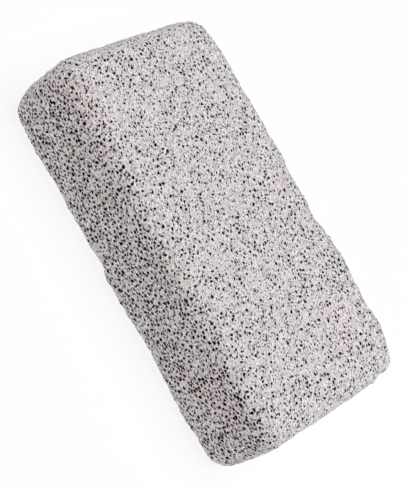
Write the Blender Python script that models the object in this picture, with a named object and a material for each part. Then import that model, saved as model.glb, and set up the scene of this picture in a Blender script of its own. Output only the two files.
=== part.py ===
"""Pumice stone for rubbing hard skin: one block sawn from volcanic glass foam, its edges worn round.

Metres, +Z up. The block lies on a broad face, with X along its length, Y across its width and Z
through its thickness. The origin is at the middle of the bottom face.
"""

import math
import random

import bmesh
import bpy
from mathutils import Matrix, Vector, noise

MM = 0.001

# The sawn block.
LENGTH = 100.0 * MM
WIDTH = 51.7 * MM
THICKNESS = 25.0 * MM
EDGE_RADIUS = 5.2 * MM
HALF = Vector((LENGTH, WIDTH, THICKNESS)) / 2

# The saw cut the block a little out of square: how far each corner moves, in millimetres.
CORNER_SHIFT = {
    (-1, -1, -1): (0.2, -0.1, 0.0),
    (-1, -1, 1): (0.2, 0.4, 0.3),
    (-1, 1, 1): (0.4, -0.3, -0.4),
    (1, -1, -1): (-0.4, 0.0, 0.0),
    (1, -1, 1): (0.0, -0.3, -0.3),
    (1, 1, 1): (-0.5, 0.3, 0.4),
}

# Wear over the whole block: broad waves and short ones, as (wavelength, height).
WAVES = ((17.0 * MM, 0.20 * MM), (5.5 * MM, 0.22 * MM))
WAVE_START = Vector((3.7, 1.9, 8.2))
FLAT_BASE = 2.5 * MM  # waves fade out over this height, so the block rests flat

# Knocks, rubbed hollows and lumps: centre, radius and height (- is a hollow) in millimetres.
SWELLS = (
    # the far end bulges, and its upper back corner is knocked off
    (50.0, 4.0, 16.0, 20.0, 0.50),
    (50.0, -19.0, 10.0, 8.0, 0.45),
    (46.0, 25.0, 24.0, 4.5, -1.40),
    # the long upper edge at the back
    (-3.5, 24.0, 24.0, 4.0, -0.25),
    (8.5, 24.0, 24.0, 4.0, -0.75),
    (20.5, 24.0, 24.0, 4.0, 0.35),
    (33.0, 24.0, 24.0, 3.5, -0.35),
    # the near end's corners
    (-47.0, 23.0, 22.5, 5.0, -0.90),
    (-49.5, -21.0, 19.0, 5.0, -0.35),
    (-48.5, -24.0, 3.5, 4.0, -0.45),
    # the long lower edge at the front
    (-36.0, -24.6, 2.0, 4.0, 0.35),
    (-25.0, -24.6, 2.0, 4.5, -0.35),
    (-15.0, -24.6, 2.0, 3.0, -0.50),
    (-6.5, -24.6, 2.0, 3.0, -0.85),
    (-2.5, -24.6, 2.0, 2.5, 0.45),
    (2.5, -24.6, 2.0, 2.5, 0.25),
    (10.5, -24.6, 2.0, 3.0, -0.20),
    (17.0, -24.6, 2.0, 3.0, -1.10),
    (35.0, -24.6, 2.0, 3.0, 0.40),
    (39.5, -24.6, 2.0, 3.0, -0.50),
    (47.5, -23.5, 3.5, 4.0, -0.50),
)

# The grid that carries the wear, and what is left of it once the flat parts are thinned.
CELL = 2.0 * MM
ROUND_CELLS = 3  # cells over half of each rounded edge
STONE_TRIANGLES = 2500

# The largest burst bubbles, as (x, y, z) on the sharp-edged block and width, in millimetres.
LARGE_PITS = (
    (-43.4, -23.5, 25.0, 1.5),
    (-36.0, -25.85, 21.5, 1.3),
    (-25.0, 9.7, 25.0, 1.5),
    (-24.0, -12.1, 25.0, 1.4),
    (-23.8, -2.3, 25.0, 1.4),
    (-23.2, -22.5, 25.0, 1.4),
    (-20.2, -3.4, 25.0, 1.2),
    (-17.0, -25.85, 18.2, 1.5),
    (-14.2, -25.85, 7.0, 1.4),
    (-7.6, 13.5, 25.0, 1.3),
    (1.4, -8.9, 25.0, 1.4),
    (1.4, -19.9, 25.0, 1.3),
    (19.2, -21.0, 25.0, 1.3),
    (20.4, 11.7, 25.0, 1.2),
    (29.2, -25.85, 23.0, 1.4),
    (31.6, -25.85, 17.2, 1.4),
    (42.0, -13.9, 25.0, 1.3),
)

# The other bubbles that show from a step away.
PITS = 430
PIT_WIDTH = (0.85 * MM, 1.45 * MM)
PIT_SIDES = 5
PIT_DEPTH = (0.9, 1.3)  # of the width
PIT_STRETCH = 0.45  # bubbles are drawn out along the block by up to this share
PIT_GAP = 0.7 * MM  # stone left between two pits
REST_PAD = 6.0 * MM  # radius at the middle of the bottom that has no pits
PIT_SEED = 11

PUMICE_COLOUR = (0.50, 0.46, 0.45, 1.0)
PUMICE_ROUGHNESS = 0.95


def clear_scene():
    for obj in list(bpy.data.objects):
        bpy.data.objects.remove(obj, do_unlink=True)


def new_collection(name):
    collection = bpy.data.collections.new(name)
    bpy.context.scene.collection.children.link(collection)
    return collection


def new_object(name, bm, collection):
    mesh = bpy.data.meshes.new(name)
    bm.to_mesh(mesh)
    bm.free()
    obj = bpy.data.objects.new(name, mesh)
    collection.objects.link(obj)
    return obj


def pumice_material():
    material = bpy.data.materials.new("pumice")
    material.use_nodes = True
    shader = material.node_tree.nodes["Principled BSDF"]
    shader.inputs["Base Color"].default_value = PUMICE_COLOUR
    shader.inputs["Roughness"].default_value = PUMICE_ROUGHNESS
    return material


def out_of_square(share):
    """How far the saw's error moves a place given as -1 to 1 along each axis."""
    shift = Vector()
    for corner, move in CORNER_SHIFT.items():
        weight = math.prod((1 + side * at) / 2 for side, at in zip(corner, share))
        shift += weight * MM * Vector(move)
    return shift


def worn(place):
    """How far the worn surface stands out from the sawn one, for a place measured from the bottom."""
    rise = sum(height * noise.noise(place / length + WAVE_START) for length, height in WAVES)
    for x, y, z, radius, height in SWELLS:
        gap = (place - MM * Vector((x, y, z))).length / (radius * MM)
        rise += height * MM * math.exp(-gap * gap)
    return rise


def surface(cell):
    """(point, outward direction) of the worn stone for a point of the sharp-edged block.

    The cell is measured from the middle of the block, and the stone's point from its bottom.
    """
    core = Vector(max(-h + EDGE_RADIUS, min(h - EDGE_RADIUS, c)) for c, h in zip(cell, HALF))
    outward = (cell - core).normalized()
    place = core + EDGE_RADIUS * outward
    place += out_of_square(Vector(c / h for c, h in zip(place, HALF)))
    place.z = max(place.z + HALF.z, 0.0)
    place += min(1.0, place.z / FLAT_BASE) * worn(place) * outward
    return place, outward


def grid_lines(half):
    """Where the grid cuts one axis: even cells on the flat, finer ones round the edge."""
    flat = half - EDGE_RADIUS
    cells = max(1, round(2 * flat / CELL))
    lines = [-flat + 2 * flat * i / cells for i in range(cells + 1)]
    for i in range(1, ROUND_CELLS):
        turn = EDGE_RADIUS * math.tan(math.pi / 4 * i / ROUND_CELLS)
        lines += [flat + turn, -flat - turn]
    return lines


def stone_blank():
    """The block as a closed grid, worn into shape."""
    bm = bmesh.new()
    bmesh.ops.create_cube(bm, size=2.0, matrix=Matrix.Diagonal((*HALF, 1)))
    for axis, half in enumerate(HALF):
        normal = Vector(float(i == axis) for i in range(3))
        for line in grid_lines(half):
            everything = bm.verts[:] + bm.edges[:] + bm.faces[:]
            bmesh.ops.bisect_plane(bm, geom=everything, plane_co=line * normal, plane_no=normal)
    for vert in bm.verts:
        vert.co = surface(vert.co)[0]
    return bm


def pit_sites():
    """(cell, width) of every pit: the largest ones, then seeded ones a clear gap from the rest."""
    chance = random.Random(PIT_SEED)
    sites = [(MM * Vector((x, y, z)) - Vector((0, 0, HALF.z)), width * MM)
             for x, y, z, width in LARGE_PITS]
    faces = [(axis, side) for axis in range(3) for side in (-1, 1)]
    areas = [HALF[(axis + 1) % 3] * HALF[(axis + 2) % 3] for axis, _ in faces]
    while len(sites) < len(LARGE_PITS) + PITS:
        axis, side = chance.choices(faces, areas)[0]
        cell = Vector(chance.uniform(-h, h) for h in HALF)
        cell[axis] = side * HALF[axis]
        width = chance.uniform(*PIT_WIDTH)
        if (axis, side) == (2, -1) and cell.xy.length < REST_PAD + width:
            continue
        reach = (1 + PIT_STRETCH) / 2
        if all((cell - other).length > reach * (width + w) + PIT_GAP for other, w in sites):
            sites.append((cell, width))
    return sites


def bubble_frame(place, outward):
    """A frame at the surface whose X runs along the block and Z outward, with X drawn out."""
    along = Vector((1, 0, 0)) - outward.x * outward
    stretch = 1 + PIT_STRETCH * along.length
    if along.length < 0.1:
        along = outward.orthogonal()
    along.normalize()
    turn = Matrix((along, outward.cross(along), outward)).transposed().to_4x4()
    return Matrix.Translation(place) @ turn @ Matrix.Diagonal((stretch, 1, 1, 1))


def pit_cutters():
    """One mesh of uneven cones, each standing tip down in the stone where a bubble burst."""
    chance = random.Random(PIT_SEED + 1)
    bm = bmesh.new()
    for cell, width in pit_sites():
        depth = width * chance.uniform(*PIT_DEPTH)
        spin = Matrix.Rotation(chance.uniform(0, math.tau), 4, "Z")
        frame = bubble_frame(*surface(cell)) @ spin
        # A cone twice as tall and wide as the pit has its rim clear of the stone.
        cone = bmesh.ops.create_cone(
            bm, cap_ends=True, segments=PIT_SIDES, radius1=0.0, radius2=width, depth=2 * depth
        )
        for vert in cone["verts"]:
            if vert.co.z > 0:
                vert.co.xy *= chance.uniform(0.85, 1.2)
            vert.co = frame @ vert.co
    return bm


def main():
    clear_scene()
    parts = new_collection("pumice_stone")
    cutters = new_collection("cutters")
    stone = new_object("pumice_stone", stone_blank(), parts)
    stone.data.materials.append(pumice_material())
    thin = stone.modifiers.new("thin the flat parts", "DECIMATE")
    thin.ratio = STONE_TRIANGLES / (2 * len(stone.data.polygons))
    pits = new_object("pit_cutters", pit_cutters(), cutters)
    pits.hide_render = True
    pits.display_type = "WIRE"
    cut = stone.modifiers.new("burst bubbles", "BOOLEAN")
    cut.operation = "DIFFERENCE"
    cut.solver = "EXACT"
    cut.object = pits


main()
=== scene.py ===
# %% [markdown]
# # Pumice stone for rubbing hard skin
# Pumice is glass that a volcano blew full of gas. The froth froze while its bubbles were still
# being drawn out by the flow, so the stone is mostly holes, in rows, in walls of pale glass. A saw
# cut this piece to a block and use rounded its edges. Everything here is one piece, so the lesson
# is about one surface: first the worn block, then the bubbles that the saw and the wear cut open,
# then the glass itself, and last the light and the camera.

# %% Open the frame
import math
import random

import bmesh
import bpy
from mathutils import Matrix, Vector, noise


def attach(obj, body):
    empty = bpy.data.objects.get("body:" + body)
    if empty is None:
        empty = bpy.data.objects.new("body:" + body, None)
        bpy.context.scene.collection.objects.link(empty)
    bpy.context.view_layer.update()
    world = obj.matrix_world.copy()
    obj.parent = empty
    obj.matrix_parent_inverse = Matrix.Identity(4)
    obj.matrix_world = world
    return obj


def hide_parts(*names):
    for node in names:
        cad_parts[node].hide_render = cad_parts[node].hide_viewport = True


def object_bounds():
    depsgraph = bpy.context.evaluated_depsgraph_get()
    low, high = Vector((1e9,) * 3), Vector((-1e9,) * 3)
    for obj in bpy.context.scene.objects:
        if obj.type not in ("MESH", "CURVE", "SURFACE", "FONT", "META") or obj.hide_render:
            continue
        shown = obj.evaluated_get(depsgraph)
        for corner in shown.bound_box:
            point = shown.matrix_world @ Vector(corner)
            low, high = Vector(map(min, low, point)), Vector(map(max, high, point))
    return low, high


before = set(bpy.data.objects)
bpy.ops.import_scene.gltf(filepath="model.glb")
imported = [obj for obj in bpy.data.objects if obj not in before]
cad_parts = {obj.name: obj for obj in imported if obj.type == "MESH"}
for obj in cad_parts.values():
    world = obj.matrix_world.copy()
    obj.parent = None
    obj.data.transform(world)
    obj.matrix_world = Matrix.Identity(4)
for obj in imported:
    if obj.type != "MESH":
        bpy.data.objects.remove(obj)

CAD_LOW, CAD_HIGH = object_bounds()
MM = 0.001
print("solids in the frame:", list(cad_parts))
print("the stone's box, in mm:", [round((h - l) / MM, 1) for l, h in zip(CAD_LOW, CAD_HIGH)])

# %% [markdown]
# ## The worn block
# The saw leaves six flat faces, a little out of square, and rubbing turns each edge to a round of
# about 5 mm. It could be a cube with a Bevel modifier, but a bevel is the same all along its edge,
# and these edges have knocks and hollows. So the block is a sharp-edged cube cut into small cells,
# and one function moves each corner of the grid to where the worn surface is. It rounds the edges,
# leans the faces, and adds long waves, short waves, and a list of knocks, hollows and lumps.

# %% The block's own sizes
LENGTH = 100.0 * MM
WIDTH = 51.7 * MM
THICKNESS = 25.0 * MM
EDGE_RADIUS = 5.2 * MM
HALF = Vector((LENGTH, WIDTH, THICKNESS)) / 2
# how far each corner of the block is off square, in millimetres
CORNER_SHIFT = {
    (-1, -1, -1): (0.2, -0.1, 0.0),
    (-1, -1, 1): (0.2, 0.5, 0.3),
    (-1, 1, 1): (0.4, -0.3, -0.4),
    (1, -1, -1): (-0.4, 0.0, 0.0),
    (1, -1, 1): (0.0, 1.2, -0.3),
    (1, 1, 1): (-0.5, 0.3, 0.4),
}
print("corners that are off square:", len(CORNER_SHIFT), "of 8")

# %% Waves, knocks, hollows and lumps
# the wavelength and height of each wave
WAVES = ((17.0 * MM, 0.20 * MM), (5.5 * MM, 0.22 * MM))
WAVE_START = Vector((3.7, 1.9, 8.2))  # the place in the noise that the waves start from
# each one's centre, radius and height in millimetres; the height of a knock or hollow is below 0
SWELLS = (
    (50.0, 4.0, 16.0, 20.0, 0.50), (50.0, -19.0, 10.0, 8.0, 0.45),
    (46.0, 25.0, 24.0, 4.5, -1.40),
    (-3.5, 24.0, 24.0, 4.0, -0.25), (8.5, 24.0, 24.0, 4.0, -0.75),
    (20.5, 24.0, 24.0, 4.0, 0.35), (33.0, 24.0, 24.0, 3.5, -0.35),
    (-47.0, 23.0, 22.5, 5.0, -0.90), (-49.5, -21.0, 19.0, 5.0, -0.35),
    (-48.5, -24.0, 3.5, 4.0, -0.45),
    (-36.0, -24.6, 2.0, 4.0, 0.35), (-25.0, -24.6, 2.0, 4.5, -0.35),
    (-15.0, -24.6, 2.0, 3.0, -0.50), (-6.5, -24.6, 2.0, 3.0, -0.85),
    (-2.5, -24.6, 2.0, 2.5, 0.45), (2.5, -24.6, 2.0, 2.5, 0.25),
    (10.5, -24.6, 2.0, 3.0, -0.20), (17.0, -24.6, 2.0, 3.0, -1.10),
    (35.0, -24.6, 2.0, 3.0, 0.40), (39.5, -24.6, 2.0, 3.0, -0.50),
    (47.5, -23.5, 3.5, 4.0, -0.50),
    (49.9, 19.0, 20.8, 2.2, -1.10), (41.0, 24.3, 23.5, 2.5, 0.25), (34.5, 24.0, 24.0, 2.0, 0.25),
    (-9.0, 24.0, 24.0, 4.0, 0.35), (-49.8, 8.5, 21.3, 6.0, -0.30),
    (-49.6, -22.7, 8.2, 1.4, 0.25), (-49.5, -22.7, 4.5, 1.2, -0.40),
    (-7.8, -24.8, 2.1, 1.2, 0.35), (-5.2, -24.5, 1.8, 1.2, -0.40),
)
lumps = sum(height > 0 for *_, height in SWELLS)
print("knocks and hollows:", len(SWELLS) - lumps, "lumps:", lumps)


# %% Off square and worn
def out_of_square(share):
    """How far the saw's error moves a place given as -1 to 1 along each axis."""
    shift = Vector()
    for corner, move in CORNER_SHIFT.items():
        weight = math.prod((1 + side * at) / 2 for side, at in zip(corner, share))
        shift += weight * MM * Vector(move)
    return shift


def worn(place):
    """How far the worn surface stands out from the sawn one."""
    rise = sum(height * noise.noise(place / length + WAVE_START) for length, height in WAVES)
    for x, y, z, radius, height in SWELLS:
        gap = (place - MM * Vector((x, y, z))).length / (radius * MM)
        rise += height * MM * math.exp(-gap * gap)
    return rise


print("wear at the middle of the stone, in mm:", round(worn(Vector()) / MM, 2))

# %% Where the worn surface is
FLAT_BASE = 2.5 * MM  # wear starts from nothing at the underside and is whole at this height
LESS_WORN = 0.8 * MM  # how much further out two opposite long edges stand


def surface(cell):
    """(point, outward direction) of the worn stone for a point of the sharp-edged block."""
    core = Vector(max(-h + EDGE_RADIUS, min(h - EDGE_RADIUS, c)) for c, h in zip(cell, HALF))
    outward = (cell - core).normalized()
    place = core + EDGE_RADIUS * outward
    place += out_of_square(Vector(c / h for c, h in zip(place, HALF)))
    place.z = max(place.z + HALF.z, 0.0)
    place += min(1.0, place.z / FLAT_BASE) * worn(place) * outward
    # 1 on the upper edge of the side at -Y and on the lower edge of the side at +Y
    crest = max(0.0, -2 * outward.y * outward.z) * (1 - abs(outward.x))
    place += LESS_WORN * crest ** 2 * outward
    return place, outward


middle = surface(Vector((0, 0, HALF.z)))[0]
print("the middle of the top, in mm:", [round(c / MM, 2) for c in middle])

# %% [markdown]
# The skin between the bubbles isn't smooth either: the walls broke off at different heights, so it
# is bumpy by up to about 0.2 mm, which shows most along the outline. A bump map can't change an
# outline, so these bumps are in the mesh, on a grid with finer cells round the edges. Every corner
# of the grid is kept inside the box that the solid fills.

# %% Lines of the grid
CELL = 1.5 * MM
ROUND_CELLS = 4  # cells over half of each rounded edge


def grid_lines(half):
    """Where the grid cuts one axis: even cells on the flat, finer ones round the edge."""
    flat = half - EDGE_RADIUS
    cells = round(2 * flat / CELL)
    lines = [-flat + 2 * flat * i / cells for i in range(cells + 1)]
    for i in range(1, ROUND_CELLS):
        turn = EDGE_RADIUS * math.tan(math.pi / 4 * i / ROUND_CELLS)
        lines += [flat + turn, -flat - turn]
    return lines


print("cells along, across and up the block:", [len(grid_lines(half)) + 1 for half in HALF])

# %% Build the block
GRIT_LENGTH = 1.5 * MM
GRIT_HEIGHT = 0.28 * MM
INSIDE = 0.01 * MM  # how far the mesh keeps inside the solid's box, except at the underside
LOWEST = (CAD_LOW[0] + INSIDE, CAD_LOW[1] + INSIDE, CAD_LOW[2])
HIGHEST = tuple(high - INSIDE for high in CAD_HIGH)


def worn_block():
    """The stone before its bubbles are cut, as a closed mesh of triangles."""
    bm = bmesh.new()
    bmesh.ops.create_cube(bm, size=2.0, matrix=Matrix.Diagonal((*HALF, 1)))
    for axis, half in enumerate(HALF):
        normal = Vector(float(i == axis) for i in range(3))
        for line in grid_lines(half):
            everything = bm.verts[:] + bm.edges[:] + bm.faces[:]
            bmesh.ops.bisect_plane(bm, geom=everything, plane_co=line * normal, plane_no=normal)
    for vert in bm.verts:
        place, outward = surface(vert.co)
        grit = GRIT_HEIGHT * noise.noise(place / GRIT_LENGTH)
        place += min(1.0, place.z / FLAT_BASE) * grit * outward
        vert.co = [min(max(c, low), high) for c, low, high in zip(place, LOWEST, HIGHEST)]
    bmesh.ops.triangulate(bm, faces=bm.faces[:])
    mesh = bpy.data.meshes.new("worn block")
    bm.to_mesh(mesh)
    bm.free()
    return mesh


block_mesh = worn_block()
print("triangles in the worn block:", len(block_mesh.polygons))

# %% [markdown]
# ## The large burst bubbles
# A few hundred bubbles are wide enough to see from a step away. They could be scattered like the
# rest, but the solid already has them as plain pits, so they open in the same places here. Each
# place is a point that carries its outward direction and its width, and Geometry Nodes later put a
# bubble there.

# %% The widest bubbles
# (x, y, z) on the sharp-edged block and width, in millimetres
WIDEST = (
    (-43.4, -23.5, 25.0, 1.5), (-36.0, -25.85, 21.5, 1.3), (-25.0, 9.7, 25.0, 1.5),
    (-24.0, -12.1, 25.0, 1.4), (-23.8, -2.3, 25.0, 1.4), (-23.2, -22.5, 25.0, 1.4),
    (-20.2, -3.4, 25.0, 1.2), (-17.0, -25.85, 18.2, 1.5), (-14.2, -25.85, 7.0, 1.4),
    (-7.6, 13.5, 25.0, 1.3), (1.4, -8.9, 25.0, 1.4), (1.4, -19.9, 25.0, 1.3),
    (19.2, -21.0, 25.0, 1.3), (20.4, 11.7, 25.0, 1.2), (29.2, -25.85, 23.0, 1.4),
    (31.6, -25.85, 17.2, 1.4), (42.0, -13.9, 25.0, 1.3),
)
print("widest bubbles:", len(WIDEST))

# %% Places of the other large bubbles
OTHERS = 430
OTHER_WIDTH = (0.85 * MM, 1.45 * MM)
LONGER = 0.45  # how much longer than wide a bubble may be
CLEAR_GAP = 0.7 * MM
REST_PAD = 6.0 * MM  # radius of the middle of the underside, which the stone rests on
PLACE_SEED = 11


def large_sites():
    """(cell, width) of every bubble: the widest, then seeded ones a clear gap from the rest."""
    chance = random.Random(PLACE_SEED)
    sites = [(MM * Vector((x, y, z)) - Vector((0, 0, HALF.z)), width * MM)
             for x, y, z, width in WIDEST]
    faces = [(axis, side) for axis in range(3) for side in (-1, 1)]
    areas = [HALF[(axis + 1) % 3] * HALF[(axis + 2) % 3] for axis, _ in faces]
    reach = (1 + LONGER) / 2
    while len(sites) < len(WIDEST) + OTHERS:
        axis, side = chance.choices(faces, areas)[0]
        cell = Vector(chance.uniform(-h, h) for h in HALF)
        cell[axis] = side * HALF[axis]
        width = chance.uniform(*OTHER_WIDTH)
        if (axis, side) == (2, -1) and cell.xy.length < REST_PAD + width:
            continue
        if all((cell - other).length > reach * (width + w) + CLEAR_GAP for other, w in sites):
            sites.append((cell, width))
    return sites


sites = large_sites()
print("large bubbles:", len(sites), "the narrowest, in mm:", round(min(w for _, w in sites) / MM, 2))


# %% Points that carry them
def site_points(sites):
    """A mesh of loose points that carry each bubble's outward direction and width."""
    placed = [(*surface(cell), width) for cell, width in sites]
    mesh = bpy.data.meshes.new("bubble places")
    mesh.from_pydata([place for place, _, _ in placed], [], [])
    outward = mesh.attributes.new("outward", "FLOAT_VECTOR", "POINT")
    width = mesh.attributes.new("width", "FLOAT", "POINT")
    for i, (_, direction, across) in enumerate(placed):
        outward.data[i].vector = direction
        width.data[i].value = across
    return mesh


large_places = bpy.data.objects.new("bubble places", site_points(sites))
print("points that carry a direction and a width:", len(large_places.data.vertices))

# %% [markdown]
# ## The finer bubbles
# Several thousand smaller bubbles, 0.7 to 1 mm across, lie in rows along the way the froth flowed.
# Modelling them one by one is out of the question, and a bump map would leave the outline and the
# shadows wrong. They could be carved by displacement, which rounds every rim, or cut with a
# Boolean, which keeps the rim sharp. So Geometry Nodes scatter points over the block, put a small
# faceted bubble on each, and take them all out of the stone in one cut. The sizes are inputs of
# the tree, so the froth can be changed without touching its nodes.

# %% Sizes of the froth
FROTH = {
    "Roughness": 0.8 * MM,
    "Middling per square metre": 0.24e6,
    "Middling gap": 1.35 * MM,
    "Middling least radius": 0.35 * MM,
    "Middling most radius": 0.45 * MM,
    "Fine per square metre": 3.6e6,
    "Fine gap": 0.84 * MM,
    "Fine least radius": 0.36 * MM,
    "Fine most radius": 0.50 * MM,
}
froth = bpy.data.node_groups.new("froth", "GeometryNodeTree")
froth.interface.new_socket("Geometry", in_out="OUTPUT", socket_type="NodeSocketGeometry")
froth.interface.new_socket("Block", in_out="INPUT", socket_type="NodeSocketGeometry")
froth.interface.new_socket("Large bubble places", in_out="INPUT", socket_type="NodeSocketObject")
for title, size in FROTH.items():
    socket = froth.interface.new_socket(title, in_out="INPUT", socket_type="NodeSocketFloat")
    socket.default_value = size
given = froth.nodes.new("NodeGroupInput").outputs
print("the tree is given:", [output.name for output in given if output.name])


# %% A helper that adds a node
def add(tree, kind, inputs=(), **settings):
    """Adds a node. inputs maps a socket's name or number to a value or to another output."""
    node = tree.nodes.new(kind)
    for name, value in settings.items():
        setattr(node, name, value)
    for socket, value in dict(inputs).items():
        if isinstance(value, bpy.types.NodeSocket):
            tree.links.new(value, node.inputs[socket])
        else:
            node.inputs[socket].default_value = value
    return node


place = add(froth, "GeometryNodeInputPosition").outputs[0]
print("the first node gives:", place.name)

# %% [markdown]
# A burst bubble is never a clean ball: it is drawn out, leans, and bulges unevenly. One bubble of
# many faces would be too heavy to cut thousands of times, so a few plain ones are made, each
# squeezed and turned by seeded chance, and every point later picks one of them. A bubble's middle
# may lie under the surface, which leaves a cup, or over it, which leaves a shallow nick.

# %% Bubbles of different shapes
SHAPES = 8
SHAPE_SEED = 5
LEAN = 0.3  # the most that a bubble leans, in radians
SPIN = 6  # the most that it is turned, in radians
SQUEEZE = (0.85, 1.15)


def bubble_shapes(segments, rings, rise):
    """SHAPES uneven bubbles of radius 1, moved out by rise, as one set of instances."""
    chance = random.Random(SHAPE_SEED)
    join = froth.nodes.new("GeometryNodeJoinGeometry")
    for _ in range(SHAPES):
        ball = add(froth, "GeometryNodeMeshUVSphere", {
            "Radius": 1.0, "Segments": segments, "Rings": rings,
        })
        turned = add(froth, "GeometryNodeTransform", {
            "Geometry": ball.outputs["Mesh"],
            "Rotation": [
                chance.uniform(-LEAN, LEAN), chance.uniform(-LEAN, LEAN), chance.uniform(0, SPIN),
            ],
            "Scale": [chance.uniform(*SQUEEZE) for _ in range(3)],
        })
        moved = add(froth, "GeometryNodeTransform", {
            "Geometry": turned.outputs[0], "Translation": (0.0, 0.0, rise),
        })
        one = add(froth, "GeometryNodeGeometryToInstance", {0: moved.outputs[0]})
        froth.links.new(one.outputs[0], join.inputs[0])
    return join.outputs[0]


wide_cups = bubble_shapes(segments=8, rings=3, rise=-0.3)
cups = bubble_shapes(segments=6, rings=2, rise=-0.3)
nicks = bubble_shapes(segments=5, rings=2, rise=0.2)
print("bubble shapes:", 3 * SHAPES, "nodes so far:", len(froth.nodes))

# %% [markdown]
# The bubbles aren't spread evenly. They crowd in rows along the flow. The long sides are cut across
# those rows, so up to two and a half times as many open there, and they open wider. The rows could
# be drawn as curves, but a noise texture that is stretched along the flow gives them at once, and
# the way a face looks tells the long sides from the rest.

# %% Where bubbles crowd
FLOW = Vector((0.88, -0.45, 0.12)).normalized()  # the way the froth was drawn out
FLOW_TURN = math.atan2(FLOW.y, FLOW.x)
ROW_SIZES = (14.0 * MM, 2.2 * MM, 3.0 * MM)  # length, width and height of a row
ROW_EDGE = (0.36, 0.56)  # the noise where a row starts and where it is whole
BETWEEN_ROWS = 0.75  # share of the bubbles that open between the rows
SIDE_FACING = 0.75  # a face counts as partly a long side from here on
ELSEWHERE = 0.40  # share of the bubbles that open on the other faces


def sideways(normal):
    """How much a face looks to a long side, from 0 to 1."""
    across = (0.0, 1.0, 0.0)
    facing = add(froth, "ShaderNodeVectorMath", {0: normal, 1: across}, operation="DOT_PRODUCT")
    return add(froth, "ShaderNodeMath", {0: facing.outputs["Value"]}, operation="ABSOLUTE").outputs[0]


along = add(froth, "ShaderNodeVectorRotate", {
    "Vector": place, "Angle": -FLOW_TURN,
}, rotation_type="Z_AXIS")
along = add(froth, "ShaderNodeVectorMath", {
    0: along.outputs[0], 1: [1 / size for size in ROW_SIZES],
}, operation="MULTIPLY")
rows = add(froth, "ShaderNodeTexNoise", {"Vector": along.outputs[0], "Scale": 1.0, "Detail": 1.0})
in_rows = add(froth, "ShaderNodeMapRange", {
    "Value": rows.outputs[0],
    "From Min": ROW_EDGE[0], "From Max": ROW_EDGE[1], "To Min": BETWEEN_ROWS,
})
facing = sideways(add(froth, "GeometryNodeInputNormal").outputs[0])
on_sides = add(froth, "ShaderNodeMapRange", {
    "Value": facing, "From Min": SIDE_FACING, "To Min": ELSEWHERE,
})
crowd = add(froth, "ShaderNodeMath", {
    0: in_rows.outputs[0], 1: on_sides.outputs[0],
}, operation="MULTIPLY").outputs[0]
print("the rows lie at", round(math.degrees(FLOW_TURN)), "degrees to the stone's length")

# %% [markdown]
# Bubbles press against each other but don't share a wall's thickness, so each keeps a gap from its
# own kind and from the larger ones that are there already. Random points would fall on each other,
# so they are scattered with a least distance, and those too near a larger bubble are deleted. A
# point has no face to ask later, so it stores the turn and the widening that its bubble needs.

# %% Points for one kind of bubble
WIDER = 1.12  # how much wider bubbles open on the long sides
WIDER_FROM = 0.85  # how much a face looks to a long side before they open wider


def bubble_points(kind, clear_of, seed):
    """Points a gap from each other and from those in clear_of, with their turn and widening."""
    scattered = add(froth, "GeometryNodeDistributePointsOnFaces", {
        "Mesh": given["Block"], "Distance Min": given[kind + " gap"],
        "Density Max": given[kind + " per square metre"], "Density Factor": crowd, "Seed": seed,
    }, distribute_method="POISSON")
    wider = add(froth, "ShaderNodeMapRange", {
        "Value": sideways(scattered.outputs["Normal"]),
        "From Min": WIDER_FROM, "To Min": 1.0, "To Max": WIDER,
    })
    points = add(froth, "GeometryNodeStoreNamedAttribute", {
        "Geometry": scattered.outputs["Points"], "Name": "turn", "Value": scattered.outputs["Rotation"],
    }, data_type="QUATERNION", domain="POINT")
    points = add(froth, "GeometryNodeStoreNamedAttribute", {
        "Geometry": points.outputs[0], "Name": "wider", "Value": wider.outputs[0],
    }, data_type="FLOAT", domain="POINT")
    others = froth.nodes.new("GeometryNodeJoinGeometry")
    for some in clear_of:
        froth.links.new(some, others.inputs[0])
    near = add(froth, "GeometryNodeProximity", {0: others.outputs[0]}, target_element="POINTS")
    close = add(froth, "FunctionNodeCompare", {
        0: near.outputs["Distance"], 1: given[kind + " gap"],
    }, data_type="FLOAT", operation="LESS_THAN")
    return add(froth, "GeometryNodeDeleteGeometry", {
        "Geometry": points.outputs[0], "Selection": close.outputs[0],
    }, domain="POINT").outputs[0]


print("on the long sides bubbles are up to", round(100 * WIDER - 100), "% wider")

# %% Size of each bubble
FEW_WIDE = 1.4  # a power over 1, which makes narrow bubbles commoner than wide ones
DRAWN_OUT = 1.3  # the most that a bubble is longer than wide
DEEPER = 1.7  # the most that it is deeper than wide
# a Random Value node takes its least and most from sockets 2 and 3, or 4 and 5 if it gives a whole
# number, and gives it at output 1 or 2


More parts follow.
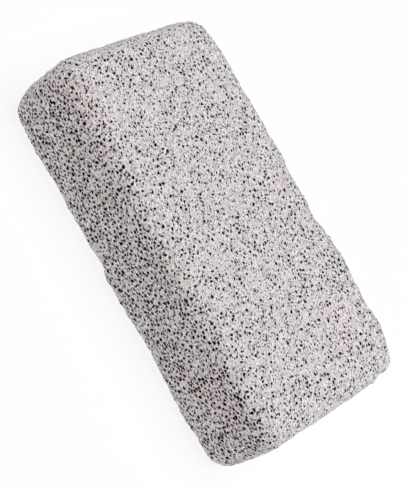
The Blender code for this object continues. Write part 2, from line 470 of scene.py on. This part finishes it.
def bubble_size(kind, seed):
    """A bubble's size along the flow, across it and into the stone."""
    wider = add(froth, "GeometryNodeInputNamedAttribute", {
        "Name": "wider",
    }, data_type="FLOAT").outputs[0]
    luck = add(froth, "FunctionNodeRandomValue", {2: 0.0, 3: 1.0, "Seed": seed + 1}, data_type="FLOAT")
    luck = add(froth, "ShaderNodeMath", {0: luck.outputs[1], 1: FEW_WIDE}, operation="POWER")
    radius = add(froth, "ShaderNodeMapRange", {
        "Value": luck.outputs[0],
        "To Min": given[kind + " least radius"], "To Max": given[kind + " most radius"],
    })
    radius = add(froth, "ShaderNodeMath", {0: radius.outputs[0], 1: wider}, operation="MULTIPLY")
    length = add(froth, "FunctionNodeRandomValue", {
        2: 1.0, 3: DRAWN_OUT, "Seed": seed + 2,
    }, data_type="FLOAT")
    extra = add(froth, "ShaderNodeMath", {0: wider, 1: 0.5}, operation="POWER")
    length = add(froth, "ShaderNodeMath", {
        0: length.outputs[1], 1: extra.outputs[0],
    }, operation="MULTIPLY")
    depth = add(froth, "FunctionNodeRandomValue", {
        2: 1.0, 3: DEEPER, "Seed": seed + 3,
    }, data_type="FLOAT")
    shape = add(froth, "ShaderNodeCombineXYZ", {
        "X": length.outputs[0], "Y": 1.0, "Z": depth.outputs[1],
    })
    return add(froth, "ShaderNodeVectorMath", {
        0: shape.outputs[0], "Scale": radius.outputs[0],
    }, operation="SCALE").outputs[0]


print("bubbles are up to", DRAWN_OUT, "times as long and", DEEPER, "times as deep as wide")


# %% Middling and fine bubbles
def on_points(points, shapes, turn, size, seed):
    """One of the shapes on each point, stood up by turn and then laid along the flow."""
    laid = add(froth, "FunctionNodeAlignRotationToVector", {
        "Rotation": turn, "Vector": FLOW,
    }, axis="X", pivot_axis="Z")
    pick = add(froth, "FunctionNodeRandomValue", {4: 0, 5: SHAPES - 1, "Seed": seed}, data_type="INT")
    return add(froth, "GeometryNodeInstanceOnPoints", {
        "Points": points, "Instance": shapes, "Pick Instance": True,
        "Instance Index": pick.outputs[2], "Rotation": laid.outputs[0], "Scale": size,
    }).outputs[0]


def scattered_bubbles(kind, shapes, clear_of, seed):
    """Instances of shapes over the block, and the points they stand on."""
    points = bubble_points(kind, clear_of, seed)
    turn = add(froth, "GeometryNodeInputNamedAttribute", {"Name": "turn"}, data_type="QUATERNION")
    return on_points(points, shapes, turn.outputs[0], bubble_size(kind, seed), seed + 4), points


large_points = add(froth, "GeometryNodeObjectInfo", {
    "Object": given["Large bubble places"],
}).outputs["Geometry"]
middling, middling_points = scattered_bubbles("Middling", cups, [large_points], seed=101)
fine, _ = scattered_bubbles("Fine", nicks, [large_points, middling_points], seed=202)
print("nodes so far:", len(froth.nodes))

# %% Large bubbles at their places
# a bubble's radii as shares of its place's width: across the flow, along it and into the stone
ACROSS = 0.34
ALONG = (0.34, 0.46)
INTO = 0.75
outward = add(froth, "GeometryNodeInputNamedAttribute", {"Name": "outward"}, data_type="FLOAT_VECTOR")
width = add(froth, "GeometryNodeInputNamedAttribute", {"Name": "width"}, data_type="FLOAT")
stood = add(froth, "FunctionNodeAlignRotationToVector", {"Vector": outward.outputs[0]}, axis="Z")
length = add(froth, "FunctionNodeRandomValue", {2: ALONG[0], 3: ALONG[1], "Seed": 41}, data_type="FLOAT")
shape = add(froth, "ShaderNodeCombineXYZ", {"X": length.outputs[1], "Y": ACROSS, "Z": INTO})
size = add(froth, "ShaderNodeVectorMath", {
    0: shape.outputs[0], "Scale": width.outputs[0],
}, operation="SCALE")
large = on_points(large_points, wide_cups, stood.outputs[0], size.outputs[0], seed=42)
print("large bubbles open", round(2 * ACROSS * OTHER_WIDTH[0] / MM, 1), "mm across and more")

# %% [markdown]
# The cut leaves each bubble's rim and inside as clean as a mould's, and in a real stone the thin
# walls splinter. Chipping each rim by hand isn't possible, so after the cut every point of the
# mesh is nudged by noise. Before that, each point stores how far it lies under the block's old
# surface: the material uses this depth to paint the inside of a bubble dark, as painted shade.

# %% The cut
cut = add(froth, "GeometryNodeMeshBoolean", {
    "Mesh 1": given["Block"],
}, operation="DIFFERENCE", solver="MANIFOLD")
for some in (large, middling, fine):
    froth.links.new(some, cut.inputs["Mesh 2"])
under = add(froth, "GeometryNodeProximity", {0: given["Block"]}, target_element="FACES")
deep = add(froth, "GeometryNodeStoreNamedAttribute", {
    "Geometry": cut.outputs["Mesh"], "Name": "depth", "Value": under.outputs["Distance"],
}, data_type="FLOAT", domain="POINT")
print("kinds of bubble cut out at once:", len(cut.inputs["Mesh 2"].links))

# %% Chipped walls
CHIP_LENGTH = 1.2 * MM
CHIP_FADE = 1.0 * MM  # chips start from nothing at the underside and are whole at this height
chip = add(froth, "ShaderNodeTexNoise", {"Scale": 1 / CHIP_LENGTH, "Detail": 1.5})
chip = add(froth, "ShaderNodeVectorMath", {
    0: chip.outputs["Color"], 1: (0.5, 0.5, 0.5),
}, operation="SUBTRACT")  # now it points any way, not only up
height = add(froth, "ShaderNodeSeparateXYZ", {0: place})
fade = add(froth, "ShaderNodeMapRange", {
    "Value": height.outputs["Z"], "From Max": CHIP_FADE, "To Max": given["Roughness"],
})
chip = add(froth, "ShaderNodeVectorMath", {
    0: chip.outputs[0], "Scale": fade.outputs[0],
}, operation="SCALE")
moved = add(froth, "ShaderNodeVectorMath", {0: place, 1: chip.outputs[0]}, operation="ADD")
moved = add(froth, "ShaderNodeVectorMath", {0: moved.outputs[0], 1: LOWEST}, operation="MAXIMUM")
moved = add(froth, "ShaderNodeVectorMath", {0: moved.outputs[0], 1: HIGHEST}, operation="MINIMUM")
chipped = add(froth, "GeometryNodeSetPosition", {0: deep.outputs[0], "Position": moved.outputs[0]})
print("chips are", round(CHIP_LENGTH / MM, 1), "mm long")

# %% The end of the tree
pumice = bpy.data.materials.new("pumice: volcanic glass foam, sawn and rubbed")
plain = add(froth, "GeometryNodeRealizeInstances", {0: chipped.outputs[0]})
glass = add(froth, "GeometryNodeSetMaterial", {"Geometry": plain.outputs[0], "Material": pumice})
froth.links.new(glass.outputs[0], froth.nodes.new("NodeGroupOutput").inputs[0])
print("nodes in the froth tree:", len(froth.nodes))

# %% [markdown]
# The tree runs as a modifier on the block. It could stay live, but then every later step would wait
# for the cut again, so its result is copied to a plain mesh. A cut also leaves a few points in one
# place and faces of many sides, so those points are joined and each face is split into well-shaped
# triangles, which keeps the stone one closed body.

# %% Cut the stone
blank = bpy.data.objects.new("worn block", block_mesh)
bpy.context.scene.collection.objects.link(blank)
bpy.context.scene.collection.objects.link(large_places)
cutting = blank.modifiers.new("froth", "NODES")
cutting.node_group = froth
settings = {"Large bubble places": large_places, **FROTH}
for item in froth.interface.items_tree:
    if item.in_out == "INPUT" and item.name in settings:
        cutting[item.identifier] = settings[item.name]


def plain_copy(obj, name):
    """The object as its modifiers leave it, as a new plain mesh object at the origin."""
    graph = bpy.context.evaluated_depsgraph_get()
    mesh = bpy.data.meshes.new_from_object(obj.evaluated_get(graph))
    mesh.name = name
    made = bpy.data.objects.new(name, mesh)
    bpy.context.scene.collection.objects.link(made)
    return made


stone = plain_copy(blank, "pumice_stone_worn")
stone.data.materials.pop(index=0)  # the cut leaves an empty slot before the pumice
bpy.data.objects.remove(blank)
bpy.data.objects.remove(large_places)
print("faces after the cut:", len(stone.data.polygons), "of", stone.data.materials[0].name)

# %% Split it evenly
WELD = 0.0001 * MM
SHARP = math.radians(35)  # a fold as steep as this stays a sharp rim


def split_evenly(mesh):
    """Joins points that lie in one place, and splits the faces into well-shaped triangles."""
    bm = bmesh.new()
    bm.from_mesh(mesh)
    bmesh.ops.remove_doubles(bm, verts=bm.verts[:], dist=WELD)
    bmesh.ops.triangulate(bm, faces=bm.faces[:])
    bm.to_mesh(mesh)
    bm.free()


split_evenly(stone.data)
stone.data.shade_smooth()
stone.data.set_sharp_from_angle(angle=SHARP)
print("triangles in the stone:", len(stone.data.polygons))

# %% [markdown]
# ## The glass
# Rubbed pumice is matt: its skin is the broken ends of glass walls, pale warm grey with patches
# that are a little pink or a little green. The ends, the foot and one long edge have lost that
# tint, and the brightest flecks are painted highlights with less of the tint. Inside a burst bubble
# the light is lost, so the material paints it dark by its depth, as painted shade, and it reads as
# a dark dot. A picture of a stone could be wrapped round the block, but it would smear on the
# edges. So everything is worked out in the stone's own millimetres, from nodes, and it runs
# through the block as the froth does.

# %% Colours
def linear(hexcode):
    """A colour given as sRGB hex, as the linear RGBA that shaders take."""
    channels = [int(hexcode[i:i + 2], 16) / 255 for i in (1, 3, 5)]
    return (*(c / 12.92 if c <= 0.04045 else ((c + 0.055) / 1.055) ** 2.4 for c in channels), 1.0)


WARM = linear("#EFE7E8")  # most of the glass
PINK = linear("#F2E5E6")
GREEN = linear("#E9E8E5")
GREY = linear("#E9E8E7")  # where the tint is lost
# painted highlight: the colour of the brightest flecks, with less of the tint
HIGHLIGHT_TINT = linear("#EEECEC")  # the brightest broken edges
# painted shade: the inside of a burst bubble is painted this dark, by its depth
PAINTED_BUBBLE_SHADE = linear("#261718")  # deep in a bubble
print("most of the glass, linear:", [round(c, 3) for c in WARM[:3]])

# %% Matt glass
# a long side starts at the first distance from the middle and is whole from the second
LONG_SIDE = (21.0 * MM, 24.0 * MM)
pumice.use_nodes = True
tree = pumice.node_tree
matt = tree.nodes["Principled BSDF"]
matt.inputs["Roughness"].default_value = 0.95
matt.inputs["IOR"].default_value = 1.5  # volcanic glass
matt.inputs["Specular IOR Level"].default_value = 0.25  # broken ends shine less than a whole skin
place = add(tree, "ShaderNodeTexCoord").outputs["Object"]
where = add(tree, "ShaderNodeSeparateXYZ", {0: place}).outputs
from_middle = {
    axis: add(tree, "ShaderNodeMath", {0: where[axis]}, operation="ABSOLUTE").outputs[0]
    for axis in "XY"
}
side = add(tree, "ShaderNodeMapRange", {
    "Value": from_middle["Y"], "From Min": LONG_SIDE[0], "From Max": LONG_SIDE[1],
}).outputs[0]
print("the long sides start", round(LONG_SIDE[0] / MM, 1), "mm from the middle")


# %% Patches of pink and green
def per_mm(size):
    """The texture scale that makes a pattern's cells this many millimetres wide."""
    return 1 / (size * MM)


PATCH = 12  # mm across
PATCH_EDGE = 0.15  # how far the noise moves from its middle to where a patch is whole
STRENGTH = (0.25, 0.75)  # of the patches, on the broad faces and on the long sides
PATCH_START = MM * Vector((-276, 296, -341))  # the place in the noise that the patches start from
there = add(tree, "ShaderNodeMapping", {"Vector": place, "Location": PATCH_START})
patch = add(tree, "ShaderNodeTexNoise", {
    "Vector": there.outputs[0], "Scale": per_mm(PATCH), "Detail": 2.0,
})
strong = add(tree, "ShaderNodeMapRange", {
    "Value": side, "To Min": STRENGTH[0], "To Max": STRENGTH[1],
}).outputs[0]
pink = add(tree, "ShaderNodeMapRange", {
    "Value": patch.outputs[0], "From Min": 0.5, "From Max": 0.5 + PATCH_EDGE, "To Max": strong,
})
green = add(tree, "ShaderNodeMapRange", {
    "Value": patch.outputs[0], "From Min": 0.5, "From Max": 0.5 - PATCH_EDGE, "To Max": strong,
})
tint = add(tree, "ShaderNodeMix", {0: pink.outputs[0], 6: WARM, 7: PINK}, data_type="RGBA")
tint = add(tree, "ShaderNodeMix", {
    0: green.outputs[0], 6: tint.outputs[2], 7: GREEN,
}, data_type="RGBA")
print("patches of tint, in mm:", PATCH, "texture scale:", round(per_mm(PATCH), 1))

# %% Where the tint is lost
# it starts to fade at the first distance from the middle, or height, and is gone at the second
ENDS = (45.0 * MM, 50.0 * MM)
EDGE = (19.0 * MM, 25.0 * MM)
FOOT = (7.0 * MM, 0.0)
# the ends and the edge fade only this much up to the first height, and wholly from the second
LOW_FADE = 0.15
UPPER = (12.0 * MM, 20.0 * MM)
ends = add(tree, "ShaderNodeMapRange", {
    "Value": from_middle["X"], "From Min": ENDS[0], "From Max": ENDS[1],
})
edge = add(tree, "ShaderNodeMapRange", {"Value": where["Y"], "From Min": EDGE[0], "From Max": EDGE[1]})
upper = add(tree, "ShaderNodeMapRange", {
    "Value": where["Z"], "From Min": UPPER[0], "From Max": UPPER[1], "To Min": LOW_FADE,
})
foot = add(tree, "ShaderNodeMapRange", {"Value": where["Z"], "From Min": FOOT[0], "From Max": FOOT[1]})
faded = add(tree, "ShaderNodeMath", {0: ends.outputs[0], 1: edge.outputs[0]}, operation="MAXIMUM")
faded = add(tree, "ShaderNodeMath", {0: faded.outputs[0], 1: upper.outputs[0]}, operation="MULTIPLY")
faded = add(tree, "ShaderNodeMath", {0: faded.outputs[0], 1: foot.outputs[0]}, operation="MAXIMUM")
tint = add(tree, "ShaderNodeMix", {
    0: faded.outputs[0], 6: tint.outputs[2], 7: GREY,
}, data_type="RGBA")
print("the tint is gone at the foot and whole from", round(FOOT[0] / MM), "mm up")

# %% [markdown]
# Between the bubbles that are cut lie pin bubbles and the broken ends of walls. They are far too
# many to cut, so the shader draws them: each pin as a dot of painted shade with a painted highlight
# at its rim, and the walls as grain whose brightest flecks are painted highlights. A Voronoi texture
# gives the pins, as its cells are spaced evenly but not in lines, and a noise texture gives the
# walls. Both are stretched along the flow. Real pins are finer than the ones drawn here, and would
# blur to a plain grey.

# %% Pin bubbles
PIN_GAP = 0.62  # mm apart, drawn this coarse so that they show
PIN_STRETCH = (1.35, 1.0, 1.0)
# on the broad faces and on the long sides, where a pin is wider and darker
PIN_RIM = (0.38, 0.46)  # how far from its middle it ends, as a share of the gap
PIN_SHADE = (0.18, 0.12)  # from 0, black, to 1, the shade of the glass
drawn = add(tree, "ShaderNodeMapping", {
    "Vector": place, "Rotation": (0.0, 0.0, FLOW_TURN), "Scale": PIN_STRETCH,
}, vector_type="TEXTURE")
pins = add(tree, "ShaderNodeTexVoronoi", {
    "Vector": drawn.outputs[0], "Scale": per_mm(PIN_GAP), "Randomness": 0.9,
}).outputs["Distance"]
open_to = add(tree, "ShaderNodeMapRange", {"Value": side, "To Min": PIN_RIM[0], "To Max": PIN_RIM[1]})
core = add(tree, "ShaderNodeMapRange", {
    "Value": side, "To Min": PIN_SHADE[0], "To Max": PIN_SHADE[1],
})
# each pin is a dot of painted shade: dark in its middle and the glass's own shade at its rim
pin_dot_shade = add(tree, "ShaderNodeMapRange", {
    "Value": pins, "From Min": 0.18, "From Max": open_to.outputs[0],
    "To Min": core.outputs[0], "To Max": 1.05,
})
# a pin's rim is painted a little lighter than the wall halfway between two pins, as a painted highlight
rim_highlight = add(tree, "ShaderNodeMapRange", {
    "Value": pins, "From Min": 0.42, "From Max": 0.62, "To Min": 1.0, "To Max": 0.86,
})
pin_dot_shade = add(tree, "ShaderNodeMath", {0: pin_dot_shade.outputs[0], 1: rim_highlight.outputs[0]}, operation="MULTIPLY")
print("pins, in mm apart:", PIN_GAP)

# %% Broken walls
WALL = 0.30  # mm wide
WALL_STRETCH = (2.0, 1.0, 1.0)
# the walls' grain is their own tone; its bright end, which catches the light, is a painted highlight
GRAIN_AND_HIGHLIGHT = (0.66, 1.36)  # shade of the darkest walls and of the brightest, which catch the light
long_drawn = add(tree, "ShaderNodeMapping", {
    "Vector": place, "Rotation": (0.0, 0.0, FLOW_TURN), "Scale": WALL_STRETCH,
}, vector_type="TEXTURE")
walls = add(tree, "ShaderNodeTexNoise", {
    "Vector": long_drawn.outputs[0], "Scale": per_mm(WALL), "Detail": 1.0,
})
grain_and_highlight = add(tree, "ShaderNodeMapRange", {
    "Value": walls.outputs[0],
    "From Min": 0.3, "From Max": 0.7, "To Min": GRAIN_AND_HIGHLIGHT[0], "To Max": GRAIN_AND_HIGHLIGHT[1],
})
shade = add(tree, "ShaderNodeMath", {
    0: pin_dot_shade.outputs[0], 1: grain_and_highlight.outputs[0],
}, operation="MULTIPLY").outputs[0]
print("walls, in mm:", WALL, "wide and", WALL * WALL_STRETCH[0], "long")

# %% [markdown]
# Last, the shade is laid over the tint, the inside of each bubble is painted dark by its depth as
# painted shade, and the same shade lifts the skin, so what is bright also stands up and catches the
# light. A bump texture of its own would be simpler, but its dents wouldn't fall where the dark dots
# are.

# %% Colour of the skin
# the inside of a bubble is painted dark by its depth, as painted shade where the light is lost
FULL_SHADE_DEPTH = 0.10 * MM  # a bubble is as dark as it gets this far below the surface
# the brightest flecks are painted highlights, and take less of the tint
highlight_share = add(tree, "ShaderNodeMapRange", {
    "Value": shade, "From Min": 1.0, "From Max": 1.3, "To Max": 0.5,
})
tint = add(tree, "ShaderNodeMix", {
    0: highlight_share.outputs[0], 6: tint.outputs[2], 7: HIGHLIGHT_TINT,
}, data_type="RGBA")
skin = add(tree, "ShaderNodeMix", {
    0: 1.0, 6: tint.outputs[2], 7: shade,
}, data_type="RGBA", blend_type="MULTIPLY")
depth = add(tree, "ShaderNodeAttribute", attribute_name="depth")
painted_shade = add(tree, "ShaderNodeMapRange", {"Value": depth.outputs["Fac"], "From Max": FULL_SHADE_DEPTH})
colour = add(tree, "ShaderNodeMix", {
    0: painted_shade.outputs[0], 6: skin.outputs[2], 7: PAINTED_BUBBLE_SHADE,
}, data_type="RGBA")
tree.links.new(colour.outputs[2], matt.inputs["Base Color"])
print("bubbles are darkest from", round(FULL_SHADE_DEPTH / MM, 2), "mm down")

# %% Dents and flecks that catch the light
# how much higher a bright fleck stands than a black dot, on the broad faces and the long sides
DENT = (0.28 * MM, 0.38 * MM)
tall = add(tree, "ShaderNodeMapRange", {"Value": side, "To Min": DENT[0], "To Max": DENT[1]})
height = add(tree, "ShaderNodeMath", {0: shade, 1: tall.outputs[0]}, operation="MULTIPLY")
bump = add(tree, "ShaderNodeBump", {"Height": height.outputs[0], "Strength": 1.0, "Distance": 1.0})
tree.links.new(bump.outputs[0], matt.inputs["Normal"])
print("nodes in the pumice:", len(tree.nodes))

# %% [markdown]
# The finished stone stands for the plain solid that the physics uses. It isn't jointed to
# anything, so it rides on the one body there is.

# %% Place the stone in the frame
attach(stone, "root")
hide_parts("pumice_stone")
print("the stone has", len(stone.data.materials), "material, in the slot pumice")

# %% [markdown]
# ## Light and camera
# The stone lies on its broad face on a plain white sweep, as for a catalogue. Paper that is only
# lit from above comes out greyer than white, so this floor also shines softly by itself, as paper
# does that is lit from behind. One large soft lamp hangs overhead, a little to one side, and the
# room has pale walls low down and a dim ceiling, so the lamp lights the top and the walls light the
# sides. Small hard lamps would make each bubble's edge glitter, which this stone doesn't do. The
# camera looks down on the stone with its top turned to the left.

# %% Floor
FLOOR_REACH = 3.0  # metres each way
floor_mesh = bpy.data.meshes.new("floor")
corners = [(x * FLOOR_REACH, y * FLOOR_REACH, 0) for x, y in ((-1, -1), (1, -1), (1, 1), (-1, 1))]
floor_mesh.from_pydata(corners, [], [(0, 1, 2, 3)])
floor = bpy.data.objects.new("floor", floor_mesh)
bpy.context.scene.collection.objects.link(floor)
paper = bpy.data.materials.new("white paper, lit softly from behind")
paper.use_nodes = True
white = paper.node_tree.nodes["Principled BSDF"]
white.inputs["Base Color"].default_value = linear("#6E6E6E")
white.inputs["Roughness"].default_value = 1.0
white.inputs["Specular IOR Level"].default_value = 0.0
white.inputs["Emission Color"].default_value = linear("#FFFFFF")
white.inputs["Emission Strength"].default_value = 0.85
floor_mesh.materials.append(paper)
print("floor, in metres:", [round(size, 1) for size in floor.dimensions[:2]])

# %% Lamp
SOFT_BOX = 0.8  # metres across
LAMP_WATTS = 7.55
lamp = bpy.data.lights.new("overhead soft box", "AREA")
lamp.shape = "DISK"
lamp.size = SOFT_BOX
lamp.energy = LAMP_WATTS
soft = bpy.data.objects.new("overhead soft box", lamp)
soft.location = (0.12, 0.06, 0.9)
soft.rotation_euler = (-soft.location).to_track_quat("-Z", "Y").to_euler()
bpy.context.scene.collection.objects.link(soft)
print("the lamp is", round(soft.location.length, 2), "m from the stone")

# %% Room
WALLS = 1.4  # how brightly the room shines low down
CEILING = 0.06
WALL_TOP = (0.12, 0.40)  # the walls start to dim at the first height and end at the second
world = bpy.data.worlds.new("pale room")
world.use_nodes = True
sky = world.node_tree
up = add(sky, "ShaderNodeSeparateXYZ", {0: add(sky, "ShaderNodeTexCoord").outputs["Generated"]})
glow = add(sky, "ShaderNodeMapRange", {
    "Value": up.outputs["Z"],
    "From Min": WALL_TOP[0], "From Max": WALL_TOP[1], "To Min": WALLS, "To Max": CEILING,
})
sky.links.new(glow.outputs[0], sky.nodes["Background"].inputs["Strength"])
sky.nodes["Background"].inputs["Color"].default_value = (1.0, 0.975, 0.98, 1.0)
bpy.context.scene.world = world
bpy.context.scene.view_settings.view_transform = "Standard"
print("the walls shine", round(WALLS / CEILING), "times as brightly as the ceiling")

# %% Camera
lens = bpy.data.cameras.new("camera")
lens.lens = 102.2  # mm; a long lens shows the far end nearly as large as the near one
lens.clip_start = 0.01
camera = bpy.data.objects.new("camera", lens)
camera.location = (0.01912, -0.22537, 0.25312)
camera.rotation_euler = [math.radians(angle) for angle in (26.620, -34.986, 53.349)]
bpy.context.scene.collection.objects.link(camera)
bpy.context.scene.camera = camera
print("the camera is", round(camera.location.length, 2), "m from the stone")
